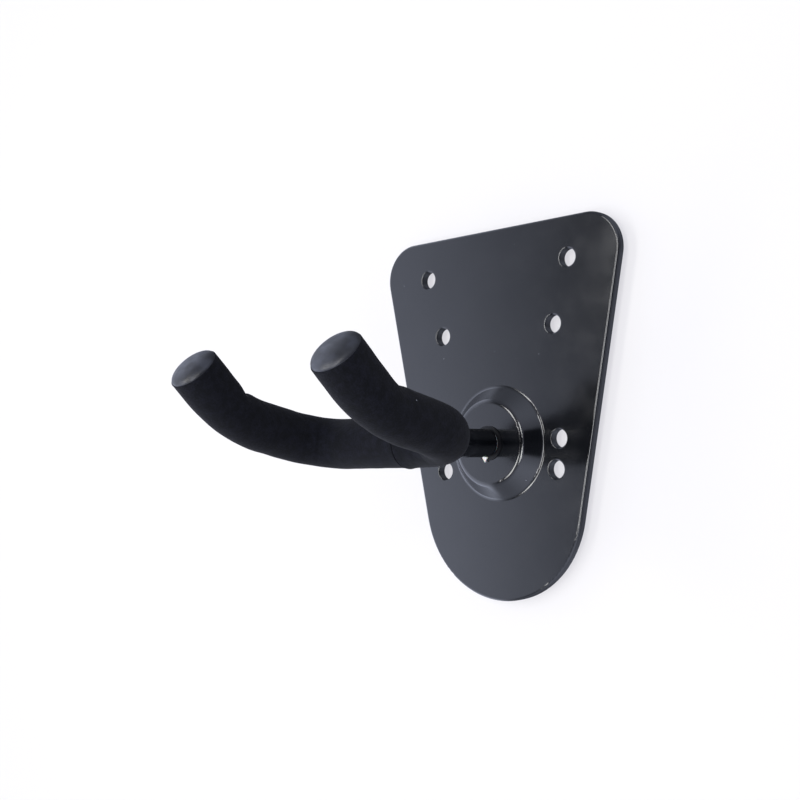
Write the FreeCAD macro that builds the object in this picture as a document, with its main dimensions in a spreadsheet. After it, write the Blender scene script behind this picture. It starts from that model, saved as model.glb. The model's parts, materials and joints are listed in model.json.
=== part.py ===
import FreeCAD, Part
import math
import os
import Sketcher
from FreeCAD import Placement, Rotation, Vector

# Wall guitar hanger. The wall is the plane XZ: +X is to the right for someone who faces it, +Z is up
# and -Y comes out of the wall. The origin is on the wall, in the middle of the four screw holes that
# form a square. Every piece of the swivel turns about an axis along Y, swivel_drop below the origin.
# Sizes are in millimetres and degrees.

SIZES = [
    ("plate_width", 109.0),          # widest, at the top
    ("plate_top", 64.0),             # top edge above the origin
    ("plate_bottom", 74.0),          # lowest point below the origin
    ("plate_thickness", 3.2),
    ("plate_corner_radius", 13.5),   # both top corners
    ("plate_toe_radius", 36.5),      # round lower end, tangent to both sides
    ("plate_front_round", 0.9),
    ("plate_back_round", 0.4),
    ("screw_hole_diameter", 6.6),    # clears an M6 or a 6 mm wood screw
    ("screw_hole_round", 0.5),
    ("screw_square", 52.0),          # side of the square of four holes
    ("top_pair_spacing", 66.0),
    ("top_pair_height", 49.0),
    ("dome_pair_spacing", 55.0),
    ("dome_pair_rise", 1.0),         # above the swivel axis
    ("swivel_drop", 16.0),           # swivel axis below the origin
    ("dome_foot_radius", 20.9),      # where the dome's slope meets the plate's front
    ("dome_flat_radius", 15.5),      # where the slope meets the dome's flat top
    ("dome_wall", 2.8),
    ("dome_foot_round", 1.5),
    ("dome_shoulder_round", 2.5),
    ("dome_hollow_round", 0.8),
    ("dome_mouth_round", 2.5),
    ("stem_diameter", 10.4),
    ("tail_diameter", 8.0),          # M8 tail through the dome, drawn without its thread
    ("tail_clear_of_wall", 0.5),
    ("nut_clear_of_wall", 0.5),
    ("tail_chamfer", 0.6),
    ("bush_wall", 1.1),
    ("bush_running_gap", 0.05),      # radial, between the tail and the bush
    ("bush_flange_lip", 1.15),       # the flange is this much wider than the sleeve
    ("bush_flange_thickness", 0.6),
    ("end_float", 0.1),              # along the axis, at each side of the dome
    ("tab_washer_inset", 0.3),       # its rim lies this far inside the stem's side
    ("tab_washer_thickness", 0.5),
    ("tab_show", 1.8),               # how far the tab's tip stands out below the stem
    ("tab_width", 3.4),              # at its root
    ("tab_overlap", 0.6),            # how far its root lies inside the washer's rim
    ("tab_shift", 0.85),             # how far its tip lies left of the axis
    ("thrust_washer_radius", 8.0),
    ("thrust_washer_thickness", 0.5),
    ("shim_radius", 7.0),
    ("shim_thickness", 0.3),
    ("spring_washer_radius", 6.8),
    ("spring_washer_thickness", 0.4),
    ("spring_washer_bow", 0.4),      # how far its middle stands off its sides
    ("washer_bore_gap", 0.2),        # radial, washers on the tail
    ("nut_across_flats", 13.0),
    ("nut_thickness", 4.0),
    ("nut_corner_chamfer", 0.5),
    ("yoke_standoff", 62.4),         # crossbar's centre line from the wall
    ("yoke_tilt", 13.1),             # the arms rise by this angle from the crossbar
    ("rod_diameter", 9.5),
    ("rod_end_chamfer", 0.8),
    ("crossbar_half", 17.6),         # straight part of the crossbar, each side
    ("elbow_radius", 15.4),          # quarter bend from the crossbar to the arm
    ("arm_straight", 10.0),
    ("arm_bend_radius", 51.0),       # the arm's upward bend
    ("arm_bend_angle", 31.2),
    ("arm_tip", 7.5),                # straight end of the arm, up to the cap
    ("rod_short_of_cap", 0.5),
    ("cope_depth", 1.4),             # how far the stem's end reaches past the rod's back
    ("weld_leg", 1.3),
    ("weld_length", 3.0),
    ("foam_diameter", 17.2),
    ("foam_bore_gap", 0.15),         # radial, foam on the rod
    ("foam_seam_offset", 10.0),      # joint between the sleeves, right of the stem
    ("foam_seam_gap", 0.3),
    ("foam_notch_gap", 0.4),         # radial, round the weld
    ("cap_dome_height", 1.9),
    ("cap_rim", 0.7),
    ("cap_skirt_wall", 1.3),
    ("cap_skirt_length", 6.8),
    ("cap_skirt_gap", 0.1),          # radial, skirt in the foam
]

doc = FreeCAD.newDocument("guitar_hanger")
sheet = doc.addObject("Spreadsheet::Sheet", "Sizes")
for row, (alias, number) in enumerate(SIZES, start=1):
    sheet.set(f"A{row}", alias)
    sheet.set(f"B{row}", str(number))
    sheet.setAlias(f"B{row}", alias)
doc.recompute()

# Places along the swivel axis, measured from the wall, as expressions on the sheet.
# The dome is pressed out as far as the nut and the washers behind it need.
NUT_FRONT = "(Sizes.nut_clear_of_wall + Sizes.nut_thickness)"
SPRING_FRONT = f"({NUT_FRONT} + Sizes.spring_washer_thickness + Sizes.spring_washer_bow)"
SHIM_FRONT = f"({SPRING_FRONT} + Sizes.shim_thickness)"
PLATEAU_BACK = f"({SHIM_FRONT} + Sizes.end_float + Sizes.thrust_washer_thickness)"
PLATEAU_FRONT = f"({PLATEAU_BACK} + Sizes.dome_wall)"
DOME_HEIGHT = f"({PLATEAU_FRONT} - Sizes.plate_thickness)"
FLANGE_FRONT = f"({PLATEAU_FRONT} + Sizes.bush_flange_thickness)"
TAB_WASHER_BACK = f"({FLANGE_FRONT} + Sizes.end_float)"
STEM_START = f"({TAB_WASHER_BACK} + Sizes.tab_washer_thickness)"
STEM_END = "(Sizes.yoke_standoff - Sizes.rod_diameter / 2 + Sizes.cope_depth)"

# Radii about the swivel axis.
TAIL_RADIUS = "Sizes.tail_diameter / 2"
STEM_RADIUS = "Sizes.stem_diameter / 2"
BUSH_BORE = f"({TAIL_RADIUS} + Sizes.bush_running_gap)"
BUSH_OUTER = f"({BUSH_BORE} + Sizes.bush_wall)"
FLANGE_RADIUS = f"({BUSH_OUTER} + Sizes.bush_flange_lip)"
TAB_WASHER_RADIUS = f"({STEM_RADIUS} - Sizes.tab_washer_inset)"
WASHER_BORE = f"({TAIL_RADIUS} + Sizes.washer_bore_gap)"
ROD_RADIUS = "Sizes.rod_diameter / 2"
FOAM_RADIUS = "Sizes.foam_diameter / 2"
SKIRT_RADIUS = f"({ROD_RADIUS} + Sizes.cap_skirt_wall)"

# Slope of the dome, and the hollow behind it: the same cone moved inwards by the wall.
DOME_SLOPE = f"atan({DOME_HEIGHT} / (Sizes.dome_foot_radius - Sizes.dome_flat_radius))"
HOLLOW_SHIFT = f"(Sizes.dome_wall / sin({DOME_SLOPE}))"
HOLLOW_MOUTH = (
    f"(Sizes.dome_foot_radius + Sizes.plate_thickness / tan({DOME_SLOPE}) - {HOLLOW_SHIFT})"
)
HOLLOW_TOP = (
    f"(Sizes.dome_flat_radius + Sizes.dome_wall / tan({DOME_SLOPE}) - {HOLLOW_SHIFT})"
)

# Arm, in the yoke's own plane: distances out from the crossbar, to the side, and up.
ARM_SIDE = "(Sizes.crossbar_half + Sizes.elbow_radius)"
ARM_STRAIGHT_END = "(Sizes.elbow_radius + Sizes.arm_straight)"


def size(expression):
    """The value of an expression on the sheet, as a plain number."""
    result = sheet.evalExpression(expression)
    return float(getattr(result, "Value", result))


def new_body(name):
    body = doc.addObject("PartDesign::Body", name)
    body.Label = name
    return body


def origin_plane(body, role):
    return [f for f in body.Origin.OriginFeatures if f.Role == role][0]


def new_sketch(body, name, role, offset=None):
    """Sketch on one of the body's origin planes, moved along its normal by an expression."""
    sketch = body.newObject("Sketcher::SketchObject", name)
    sketch.AttachmentSupport = [(origin_plane(body, role), "")]
    sketch.MapMode = "FlatFace"
    if offset:
        sketch.setExpression("AttachmentOffset.Base.z", offset)
    return sketch


def bind(sketch, constraint, name, expression):
    """Adds a constraint whose value follows an expression."""
    index = sketch.addConstraint(constraint)
    sketch.renameConstraint(index, name)
    sketch.setExpression(f"Constraints.{name}", expression)


def hold(sketch, kind, geometry, point, expression, name):
    """Holds a point's distance along X or Y from the sketch's own origin."""
    number = size(expression)
    if expression == "0":
        axis = -2 if kind == "DistanceX" else -1
        sketch.addConstraint(Sketcher.Constraint("PointOnObject", geometry, point, axis))
    elif number > 0:
        constraint = Sketcher.Constraint(kind, -1, 1, geometry, point, number)
        bind(sketch, constraint, name, expression)
    else:
        constraint = Sketcher.Constraint(kind, geometry, point, -1, 1, -number)
        bind(sketch, constraint, name, f"-({expression})")


def hold_point(sketch, geometry, point, across, up, name):
    hold(sketch, "DistanceX", geometry, point, across, f"{name}Across")
    hold(sketch, "DistanceY", geometry, point, up, f"{name}Up")


def circle(sketch, radius, across="0", up="0", name="round"):
    centre = Vector(size(across), size(up), 0)
    geometry = sketch.addGeometry(Part.Circle(centre, Vector(0, 0, 1), size(radius)))
    bind(sketch, Sketcher.Constraint("Radius", geometry, size(radius)), f"{name}Radius", radius)
    hold_point(sketch, geometry, 3, across, up, name)


def anticlockwise_arc(centre, start, end):
    """Arc about a centre, anticlockwise from one point to another."""
    angles = [math.atan2(p.y - centre.y, p.x - centre.x) for p in (start, end)]
    whole = Part.Circle(centre, Vector(0, 0, 1), (start - centre).Length)
    return Part.ArcOfCircle(whole, *angles)


def axis_centre(start, end):
    """The point on the upright axis that is equally far from two points."""
    up = (end.x**2 + end.y**2 - start.x**2 - start.y**2) / (2 * (end.y - start.y))
    return Vector(0, up, 0)


def polygon(sketch, corners, arc=None):
    """Closed outline through corners, each a pair of expressions. The side whose number is arc is
    bulged: an anticlockwise arc about a point on the upright axis."""
    points = [Vector(size(across), size(up), 0) for across, up in corners]
    sides = []
    for number, start in enumerate(points):
        end = points[(number + 1) % len(points)]
        side = Part.LineSegment(start, end)
        if number == arc:
            side = anticlockwise_arc(axis_centre(start, end), start, end)
        sides.append(sketch.addGeometry(side))
    for number, side in enumerate(sides):
        following = sides[(number + 1) % len(sides)]
        sketch.addConstraint(Sketcher.Constraint("Coincident", side, 2, following, 1))
        hold_point(sketch, side, 1, *corners[number], f"corner{number}")
    if arc is not None:
        sketch.addConstraint(Sketcher.Constraint("PointOnObject", sides[arc], 3, -2))


def pad(body, name, sketch, length):
    feature = body.newObject("PartDesign::Pad", name)
    feature.Profile = sketch
    feature.setExpression("Length", length)
    return feature


def pocket_through(body, name, sketch):
    """Cuts a sketch's shape through the whole body, both ways from its plane."""
    feature = body.newObject("PartDesign::Pocket", name)
    feature.Profile = sketch
    feature.SideType = "Symmetric"
    feature.Type = "ThroughAll"
    return feature


def revolve(body, kind, name, sketch):
    """Full turn of a sketch about its own upright axis, as a Revolution or a Groove."""
    feature = body.newObject(f"PartDesign::{kind}", name)
    feature.Profile = sketch
    feature.ReferenceAxis = (sketch, ["V_Axis"])
    feature.Angle = 360
    return feature


def dress(body, kind, name, test, expression):
    """Fillet or chamfer of the edges of the body so far that pass a test."""
    doc.recompute()
    base = body.Tip
    edges = [f"Edge{n}" for n, edge in enumerate(base.Shape.Edges, start=1) if test(edge)]
    if not edges:
        raise ValueError(f"{name}: no edge passes its test")
    feature = body.newObject(f"PartDesign::{kind}", name)
    feature.Base = (base, edges)
    feature.setExpression("Radius" if kind == "Fillet" else "Size", expression)
    doc.recompute()


def is_ring(radius, height):
    """Test for a whole circle, across the body's Z axis, of a given radius and height."""

    def test(edge):
        if not edge.isClosed() or not isinstance(edge.Curve, Part.Circle):
            return False
        return math.isclose(edge.Curve.Radius, size(radius), abs_tol=1e-4) and math.isclose(
            edge.Curve.Center.z, size(height), abs_tol=1e-4
        )

    return test


def on_swivel_axis(piece):
    """Lays a piece drawn about its own Z axis on the swivel axis, with Z pointing out of the wall."""
    piece.Placement = Placement(Vector(), Rotation(Vector(1, 0, 0), 90))
    piece.setExpression("Placement.Base.z", "-Sizes.swivel_drop")


def ring(name, inner, outer, start, length):
    """Flat ring about the swivel axis; start is its distance from the wall."""
    body = new_body(name)
    sketch = new_sketch(body, f"{name}_section", "XY_Plane", offset=start)
    circle(sketch, inner, name="inner")
    circle(sketch, outer, name="outer")
    pad(body, f"{name}_blank", sketch, length)
    on_swivel_axis(body)
    return body


def turned(name, corners, arc=None):
    """Piece turned from bar: corners are pairs of radius and distance along its Z axis."""
    body = new_body(name)
    sketch = new_sketch(body, f"{name}_section", "XZ_Plane")
    polygon(sketch, corners, arc)
    revolve(body, "Revolution", f"{name}_turning", sketch)
    return body


# Wall plate. It is drawn flat, with X across, Y up the wall and Z out of the wall.

SCREW_HOLES = [
    ("top", "Sizes.top_pair_spacing / 2", "Sizes.top_pair_height"),
    ("upper", "Sizes.screw_square / 2", "Sizes.screw_square / 2"),
    ("beside", "Sizes.dome_pair_spacing / 2", "Sizes.dome_pair_rise - Sizes.swivel_drop"),
    ("lower", "Sizes.screw_square / 2", "-Sizes.screw_square / 2"),
]
SCREW_HOLE_RADIUS = "Sizes.screw_hole_diameter / 2"


def plate_outline(sketch):
    """Two round top corners and a round toe, joined by a top edge and two tangent sides."""
    corner = size("Sizes.plate_corner_radius")
    toe = size("Sizes.plate_toe_radius")
    right = Vector(size("Sizes.plate_width / 2") - corner, size("Sizes.plate_top") - corner, 0)
    left = Vector(-right.x, right.y, 0)
    low = Vector(0, toe - size("Sizes.plate_bottom"), 0)
    between = right - low
    lean = math.atan2(between.y, between.x) - math.acos((toe - corner) / between.Length)
    top = Vector(0, 1, 0)
    right_side = Vector(math.cos(lean), math.sin(lean), 0)
    left_side = Vector(-right_side.x, right_side.y, 0)
    points = [
        (right + top * corner, left + top * corner, None),
        (left + top * corner, left + left_side * corner, left),
        (left + left_side * corner, low + left_side * toe, None),
        (low + left_side * toe, low + right_side * toe, low),
        (low + right_side * toe, right + right_side * corner, None),
        (right + right_side * corner, right + top * corner, right),
    ]
    sides = []
    for start, end, centre in points:
        side = anticlockwise_arc(centre, start, end) if centre else Part.LineSegment(start, end)
        sides.append(sketch.addGeometry(side))
    for number, side in enumerate(sides):
        following = sides[(number + 1) % len(sides)]
        sketch.addConstraint(Sketcher.Constraint("Tangent", side, 2, following, 1))
    _, left_arc, _, toe_arc, _, right_arc = sides
    sketch.addConstraint(Sketcher.Constraint("Equal", left_arc, right_arc))
    sketch.addConstraint(Sketcher.Constraint("Symmetric", left_arc, 3, right_arc, 3, -2))
    for arc, radius in ((right_arc, "plate_corner_radius"), (toe_arc, "plate_toe_radius")):
        expression = f"Sizes.{radius}"
        bind(sketch, Sketcher.Constraint("Radius", arc, size(expression)), radius, expression)
    across = "Sizes.plate_width / 2 - Sizes.plate_corner_radius"
    hold_point(sketch, right_arc, 3, across, "Sizes.plate_top - Sizes.plate_corner_radius", "corner")
    hold_point(sketch, toe_arc, 3, "0", "Sizes.plate_toe_radius - Sizes.plate_bottom", "toe")


def is_plate_edge(height):
    """Test for the plate's outer edge at a height: it is flat there and isn't a whole circle."""

    def test(edge):
        box = edge.BoundBox
        level = math.isclose(box.ZMin, height, abs_tol=1e-4) and box.ZLength < 1e-4
        return level and not edge.isClosed()

    return test


def wall_plate():
    """Pressed plate with its dome, the hollow behind it, the stem's hole and the screw holes."""
    body = new_body("wall_plate")
    outline = new_sketch(body, "plate_outline", "XY_Plane")
    plate_outline(outline)
    pad(body, "plate_blank", outline, "Sizes.plate_thickness")
    dome = new_sketch(body, "dome_section", "XZ_Plane", offset="Sizes.swivel_drop")
    polygon(
        dome,
        [
            ("0", "0"),
            ("Sizes.dome_foot_radius", "0"),
            ("Sizes.dome_foot_radius", "Sizes.plate_thickness"),
            ("Sizes.dome_flat_radius", PLATEAU_FRONT),
            ("0", PLATEAU_FRONT),
        ],
    )
    revolve(body, "Revolution", "dome", dome)
    hollow = new_sketch(body, "hollow_section", "XZ_Plane", offset="Sizes.swivel_drop")
    corners = [("0", "0"), (HOLLOW_MOUTH, "0"), (HOLLOW_TOP, PLATEAU_BACK), ("0", PLATEAU_BACK)]
    polygon(hollow, corners)
    revolve(body, "Groove", "hollow", hollow)
    stem_hole = new_sketch(body, "stem_hole_outline", "XY_Plane")
    circle(stem_hole, BUSH_OUTER, up="-Sizes.swivel_drop")
    pocket_through(body, "stem_hole", stem_hole)
    for name, radius, height, rounding in (
        ("foot", "Sizes.dome_foot_radius", "Sizes.plate_thickness", "Sizes.dome_foot_round"),
        ("shoulder", "Sizes.dome_flat_radius", PLATEAU_FRONT, "Sizes.dome_shoulder_round"),
        ("mouth", HOLLOW_MOUTH, "0", "Sizes.dome_mouth_round"),
        ("inner_corner", HOLLOW_TOP, PLATEAU_BACK, "Sizes.dome_hollow_round"),
    ):
        dress(body, "Fillet", f"dome_{name}_round", is_ring(radius, height), rounding)
    holes = new_sketch(body, "screw_hole_outlines", "XY_Plane")
    for name, across, up in SCREW_HOLES:
        circle(holes, SCREW_HOLE_RADIUS, across, up, name)
    cut = pocket_through(body, "right_screw_holes", holes)
    both = body.newObject("PartDesign::Mirrored", "screw_holes")
    both.Originals = [cut]
    both.MirrorPlane = (origin_plane(body, "YZ_Plane"), [""])
    body.Tip = both
    front = "Sizes.plate_thickness"
    rim = is_ring(SCREW_HOLE_RADIUS, front)
    dress(body, "Fillet", "screw_hole_rounds", rim, "Sizes.screw_hole_round")
    front_edge = is_plate_edge(size(front))
    dress(body, "Fillet", "front_edge_round", front_edge, "Sizes.plate_front_round")
    dress(body, "Fillet", "back_edge_round", is_plate_edge(0), "Sizes.plate_back_round")
    body.Placement = Placement(Vector(), Rotation(Vector(1, 0, 0), 90))
    return body


# Pivot: what turns in the dome, and what it turns in.


def pivot_bush():
    """Nylon bush with a thin flange on the dome's flat top."""
    body = turned(
        "pivot_bush",
        [
            (BUSH_BORE, PLATEAU_BACK),
            (BUSH_OUTER, PLATEAU_BACK),
            (BUSH_OUTER, PLATEAU_FRONT),
            (FLANGE_RADIUS, PLATEAU_FRONT),
            (FLANGE_RADIUS, FLANGE_FRONT),
            (BUSH_BORE, FLANGE_FRONT),
        ],
    )
    on_swivel_axis(body)
    return body


def tab_washer():
    """Thin nylon washer behind the stem's shoulder, with a pointed tab that shows below."""
    thickness = "Sizes.tab_washer_thickness"
    body = ring("tab_washer", WASHER_BORE, TAB_WASHER_RADIUS, TAB_WASHER_BACK, thickness)
    tab = new_sketch(body, "tab_outline", "XY_Plane", offset=TAB_WASHER_BACK)
    root = f"-({TAB_WASHER_RADIUS} - Sizes.tab_overlap)"
    tip = f"-({STEM_RADIUS} + Sizes.tab_show)"
    left = "-(Sizes.tab_width / 2 + Sizes.tab_shift)"
    right = "(Sizes.tab_width / 2 - Sizes.tab_shift)"
    polygon(tab, [(left, root), ("-Sizes.tab_shift", tip), (right, root)])
    pad(body, "tab", tab, thickness)
    return body


def cope_for_rod(body, name):
    """Saddle across the crossbar: cuts away what the rod fills."""
    sketch = new_sketch(body, f"{name}_outline", "YZ_Plane")
    circle(sketch, ROD_RADIUS, up="Sizes.yoke_standoff")
    pocket_through(body, name, sketch)


def stem():
    """Bar from the crossbar to its shoulder, then a thinner tail through the dome to the nut."""
    body = turned(
        "stem",
        [
            ("0", "Sizes.tail_clear_of_wall"),
            (TAIL_RADIUS, "Sizes.tail_clear_of_wall"),
            (TAIL_RADIUS, STEM_START),
            (STEM_RADIUS, STEM_START),
            (STEM_RADIUS, STEM_END),
            ("0", STEM_END),
        ],
    )
    tail_end = is_ring(TAIL_RADIUS, "Sizes.tail_clear_of_wall")
    dress(body, "Chamfer", "tail_point", tail_end, "Sizes.tail_chamfer")
    cope_for_rod(body, "stem_cope")
    on_swivel_axis(body)
    return body


def stem_weld():
    """Bead that runs round the stem's end, against the back of the crossbar."""
    body = turned(
        "stem_weld",
        [
            (STEM_RADIUS, f"{STEM_END} - Sizes.weld_length"),
            (f"{STEM_RADIUS} + Sizes.weld_leg", STEM_END),
            (STEM_RADIUS, STEM_END),
        ],
    )
    cope_for_rod(body, "weld_cope")
    on_swivel_axis(body)
    return body


def spring_washer():
    """Conical spring washer: its rim bears on the shim and its bore on the nut."""
    rim = f"({SPRING_FRONT} - Sizes.spring_washer_thickness)"
    bore = f"({NUT_FRONT} + Sizes.spring_washer_thickness)"
    body = turned(
        "spring_washer",
        [
            (WASHER_BORE, NUT_FRONT),
            ("Sizes.spring_washer_radius", rim),
            ("Sizes.spring_washer_radius", SPRING_FRONT),
            (WASHER_BORE, bore),
        ],
    )
    on_swivel_axis(body)
    return body


def lock_nut():
    """Thin hexagon nut with its corners turned off on the side next to the wall."""
    body = new_body("lock_nut")
    back = "Sizes.nut_clear_of_wall"
    outline = new_sketch(body, "nut_outline", "XY_Plane", offset=back)
    flat = "Sizes.nut_across_flats / 2"
    corner = "Sizes.nut_across_flats / sqrt(3)"
    hexagon = [(flat, 1), ("0", 2), (f"-{flat}", 1), (f"-{flat}", -1), ("0", -2), (flat, -1)]
    polygon(outline, [(across, f"{corner} * {up / 2}") for across, up in hexagon])
    circle(outline, TAIL_RADIUS, name="bore")
    pad(body, "nut_blank", outline, "Sizes.nut_thickness")
    section = new_sketch(body, "nut_corner_section", "XZ_Plane")
    outside = f"{corner} + Sizes.nut_corner_chamfer"
    slope = "tan(30)"
    corners = [(flat, back), (outside, back), (outside, f"{back} + ({outside} - {flat}) * {slope}")]
    polygon(section, corners)
    revolve(body, "Groove", "nut_corners", section)
    on_swivel_axis(body)
    return body


# Yoke. Its own frame has the crossbar's middle at the origin, the crossbar along X and the arms along
# -Y, turning up to +Z. The whole of it is then tilted about the crossbar.


def on_yoke(piece):
    piece.Placement = Placement(Vector(), Rotation(Vector(1, 0, 0), 1))
    piece.setExpression("Placement.Rotation.Angle", "-Sizes.yoke_tilt")
    piece.setExpression("Placement.Base.y", "-Sizes.yoke_standoff")
    piece.setExpression("Placement.Base.z", "-Sizes.swivel_drop")


def signed(side, expression):
    return f"-({expression})" if side < 0 else expression


def elbow_path(body, name, side, start):
    """From start on the crossbar, round the elbow and along the arm's straight part."""
    sketch = new_sketch(body, name, "XY_Plane")
    bar = side * size("Sizes.crossbar_half")
    arm = side * size(ARM_SIDE)
    drop = -size("Sizes.elbow_radius")
    line = sketch.addGeometry(Part.LineSegment(Vector(size(start), 0, 0), Vector(bar, 0, 0)))
    turn = [Vector(bar, 0, 0), Vector(arm, drop, 0)]
    centre = Vector(bar, drop, 0)
    bend = sketch.addGeometry(anticlockwise_arc(centre, *turn[:: -side]))
    leaves, enters = (1, 2) if side > 0 else (2, 1)
    end = Vector(arm, -size(ARM_STRAIGHT_END), 0)
    straight = sketch.addGeometry(Part.LineSegment(turn[1], end))
    hold_point(sketch, line, 1, start, "0", "start")
    sketch.addConstraint(Sketcher.Constraint("PointOnObject", line, 2, -1))
    hold(sketch, "DistanceX", line, 2, signed(side, "Sizes.crossbar_half"), "barEnd")
    sketch.addConstraint(Sketcher.Constraint("Tangent", line, 2, bend, enters))
    elbow = Sketcher.Constraint("Radius", bend, -drop)
    bind(sketch, elbow, "elbowRadius", "Sizes.elbow_radius")
    sketch.addConstraint(Sketcher.Constraint("Tangent", bend, leaves, straight, 1))
    sketch.addConstraint(Sketcher.Constraint("Vertical", straight))
    hold(sketch, "DistanceY", straight, 2, f"-{ARM_STRAIGHT_END}", "armEnd")
    return sketch


def rise_path(body, name, side, tip_length):
    """From the end of the arm's straight part, up the long bend and along the straight tip."""
    sketch = new_sketch(body, name, "YZ_Plane", offset=signed(side, ARM_SIDE))
    radius = size("Sizes.arm_bend_radius")
    angle = math.radians(size("Sizes.arm_bend_angle"))
    start = Vector(-size(ARM_STRAIGHT_END), 0, 0)
    centre = start + Vector(0, radius, 0)
    bent = centre + Vector(-math.sin(angle), -math.cos(angle), 0) * radius
    tip = bent + Vector(-math.cos(angle), math.sin(angle), 0) * size(tip_length)
    bend = sketch.addGeometry(anticlockwise_arc(centre, bent, start))
    line = sketch.addGeometry(Part.LineSegment(bent, tip))
    hold_point(sketch, bend, 2, f"-{ARM_STRAIGHT_END}", "0", "start")
    hold(sketch, "DistanceX", bend, 3, f"-{ARM_STRAIGHT_END}", "centre")
    bend_radius = Sketcher.Constraint("Radius", bend, radius)
    bind(sketch, bend_radius, "bendRadius", "Sizes.arm_bend_radius")
    sketch.addConstraint(Sketcher.Constraint("Tangent", bend, 1, line, 1))
    bind(sketch, Sketcher.Constraint("Distance", line, size(tip_length)), "tip", tip_length)
    rise = f"{tip_length} * sin(Sizes.arm_bend_angle)"
    level = Sketcher.Constraint("DistanceY", line, 1, line, 2, size(rise))
    bind(sketch, level, "tipRise", rise)
    return sketch


def pipe(body, name, profile, path):
    feature = body.newObject("PartDesign::AdditivePipe", name)
    feature.Profile = profile
    feature.Spine = (path, [f"Edge{n}" for n in range(1, path.GeometryCount + 1)])
    return feature


def arm_pipes(body, side, start, tip_length, radii):
    """Sweeps circles of the given radii along one arm, from start on the crossbar to its tip."""
    first = new_sketch(body, "crossbar_section", "YZ_Plane", offset=start)
    second = new_sketch(body, "arm_section", "XZ_Plane", offset=ARM_STRAIGHT_END)
    for number, radius in enumerate(radii):
        circle(first, radius, name=f"round{number}")
        circle(second, radius, across=signed(side, ARM_SIDE), name=f"round{number}")
    lower = pipe(body, "elbow", first, elbow_path(body, "elbow_path", side, start))
    upper = pipe(body, "rise", second, rise_path(body, "rise_path", side, tip_length))
    return lower, upper


def yoke_rod():
    """Steel rod bent to a U, with both arms bent up."""
    body = new_body("yoke_rod")
    tip = "(Sizes.arm_tip - Sizes.rod_short_of_cap)"
    halves = arm_pipes(body, 1, "0", tip, [ROD_RADIUS])
    both = body.newObject("PartDesign::Mirrored", "both_arms")
    both.Originals = list(halves)
    both.MirrorPlane = (origin_plane(body, "YZ_Plane"), [""])
    body.Tip = both
    on_yoke(body)
    return body


# Distances of an arm's tip in the yoke's frame, and then in the wall's.
TIP_OUT = (
    f"({ARM_STRAIGHT_END} + Sizes.arm_bend_radius * sin(Sizes.arm_bend_angle)"
    " + Sizes.arm_tip * cos(Sizes.arm_bend_angle))"
)
TIP_UP = (
    "(Sizes.arm_bend_radius * (1 - cos(Sizes.arm_bend_angle))"
    " + Sizes.arm_tip * sin(Sizes.arm_bend_angle))"
)
TIP_FROM_WALL = (
    f"(Sizes.yoke_standoff + {TIP_OUT} * cos(Sizes.yoke_tilt) - {TIP_UP} * sin(Sizes.yoke_tilt))"
)
TIP_ABOVE_SWIVEL = f"({TIP_OUT} * sin(Sizes.yoke_tilt) + {TIP_UP} * cos(Sizes.yoke_tilt))"
TIP_SLOPE = "(Sizes.yoke_tilt + Sizes.arm_bend_angle)"


def on_tip(piece, side, back="0"):
    """Puts a piece drawn about its own Z axis on an arm's tip, or that far back along the arm."""
    piece.Placement = Placement(Vector(), Rotation(Vector(1, 0, 0), 1))
    piece.setExpression("Placement.Rotation.Angle", f"90 - {TIP_SLOPE}")
    piece.setExpression("Placement.Base.x", signed(side, ARM_SIDE))
    piece.setExpression("Placement.Base.y", f"-{TIP_FROM_WALL} + {back} * cos({TIP_SLOPE})")
    height = f"{TIP_ABOVE_SWIVEL} - Sizes.swivel_drop - {back} * sin({TIP_SLOPE})"
    piece.setExpression("Placement.Base.z", height)


def end_cap(word, side):
    """Domed rubber cap with a skirt that goes over the rod's end, inside the foam."""
    body = turned(
        f"end_cap_{word}",
        [
            ("0", "-Sizes.rod_short_of_cap"),
            (ROD_RADIUS, "-Sizes.rod_short_of_cap"),
            (ROD_RADIUS, "-Sizes.cap_skirt_length"),
            (SKIRT_RADIUS, "-Sizes.cap_skirt_length"),
            (SKIRT_RADIUS, "0"),
            (FOAM_RADIUS, "0"),
            (FOAM_RADIUS, "Sizes.cap_rim"),
            ("0", "Sizes.cap_rim + Sizes.cap_dome_height"),
        ],
        arc=6,
    )
    on_tip(body, side)
    return body


def cylinder(name, radius, length):
    piece = doc.addObject("Part::Cylinder", name)
    piece.setExpression("Radius", radius)
    piece.setExpression("Height", length)
    return piece


def foam_sleeve(word, side, start, tools):
    """Foam tube from start on the crossbar to the cap, bored for the rod and for the cap's skirt."""
    tube = new_body(f"foam_tube_{word}")
    bore = f"{ROD_RADIUS} + Sizes.foam_bore_gap"
    arm_pipes(tube, side, start, "Sizes.arm_tip", [FOAM_RADIUS, bore])
    on_yoke(tube)
    depth = "(Sizes.cap_skirt_length + Sizes.cap_skirt_gap)"
    socket_radius = f"{SKIRT_RADIUS} + Sizes.cap_skirt_gap"
    socket = cylinder(f"cap_socket_{word}", socket_radius, f"2 * {depth}")
    on_tip(socket, side, back=depth)
    cut = doc.addObject("Part::Cut", f"foam_sleeve_{word}")
    cut.Base = tube
    if tools:
        joined = doc.addObject("Part::MultiFuse", f"foam_cuts_{word}")
        joined.Shapes = [socket, *tools]
        cut.Tool = joined
    else:
        cut.Tool = socket
    cut.Label = f"foam_sleeve_{word}"
    return cut


def stem_notch():
    """What the stem and its weld need through the back of the left sleeve."""
    radius = f"{STEM_RADIUS} + Sizes.weld_leg + Sizes.foam_notch_gap"
    notch = cylinder("stem_notch", radius, "Sizes.foam_diameter")
    notch.Placement = Placement(Vector(), Rotation(Vector(1, 0, 0), -90))
    notch.setExpression("Placement.Base.y", "-Sizes.yoke_standoff")
    notch.setExpression("Placement.Base.z", "-Sizes.swivel_drop")
    return notch


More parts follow.
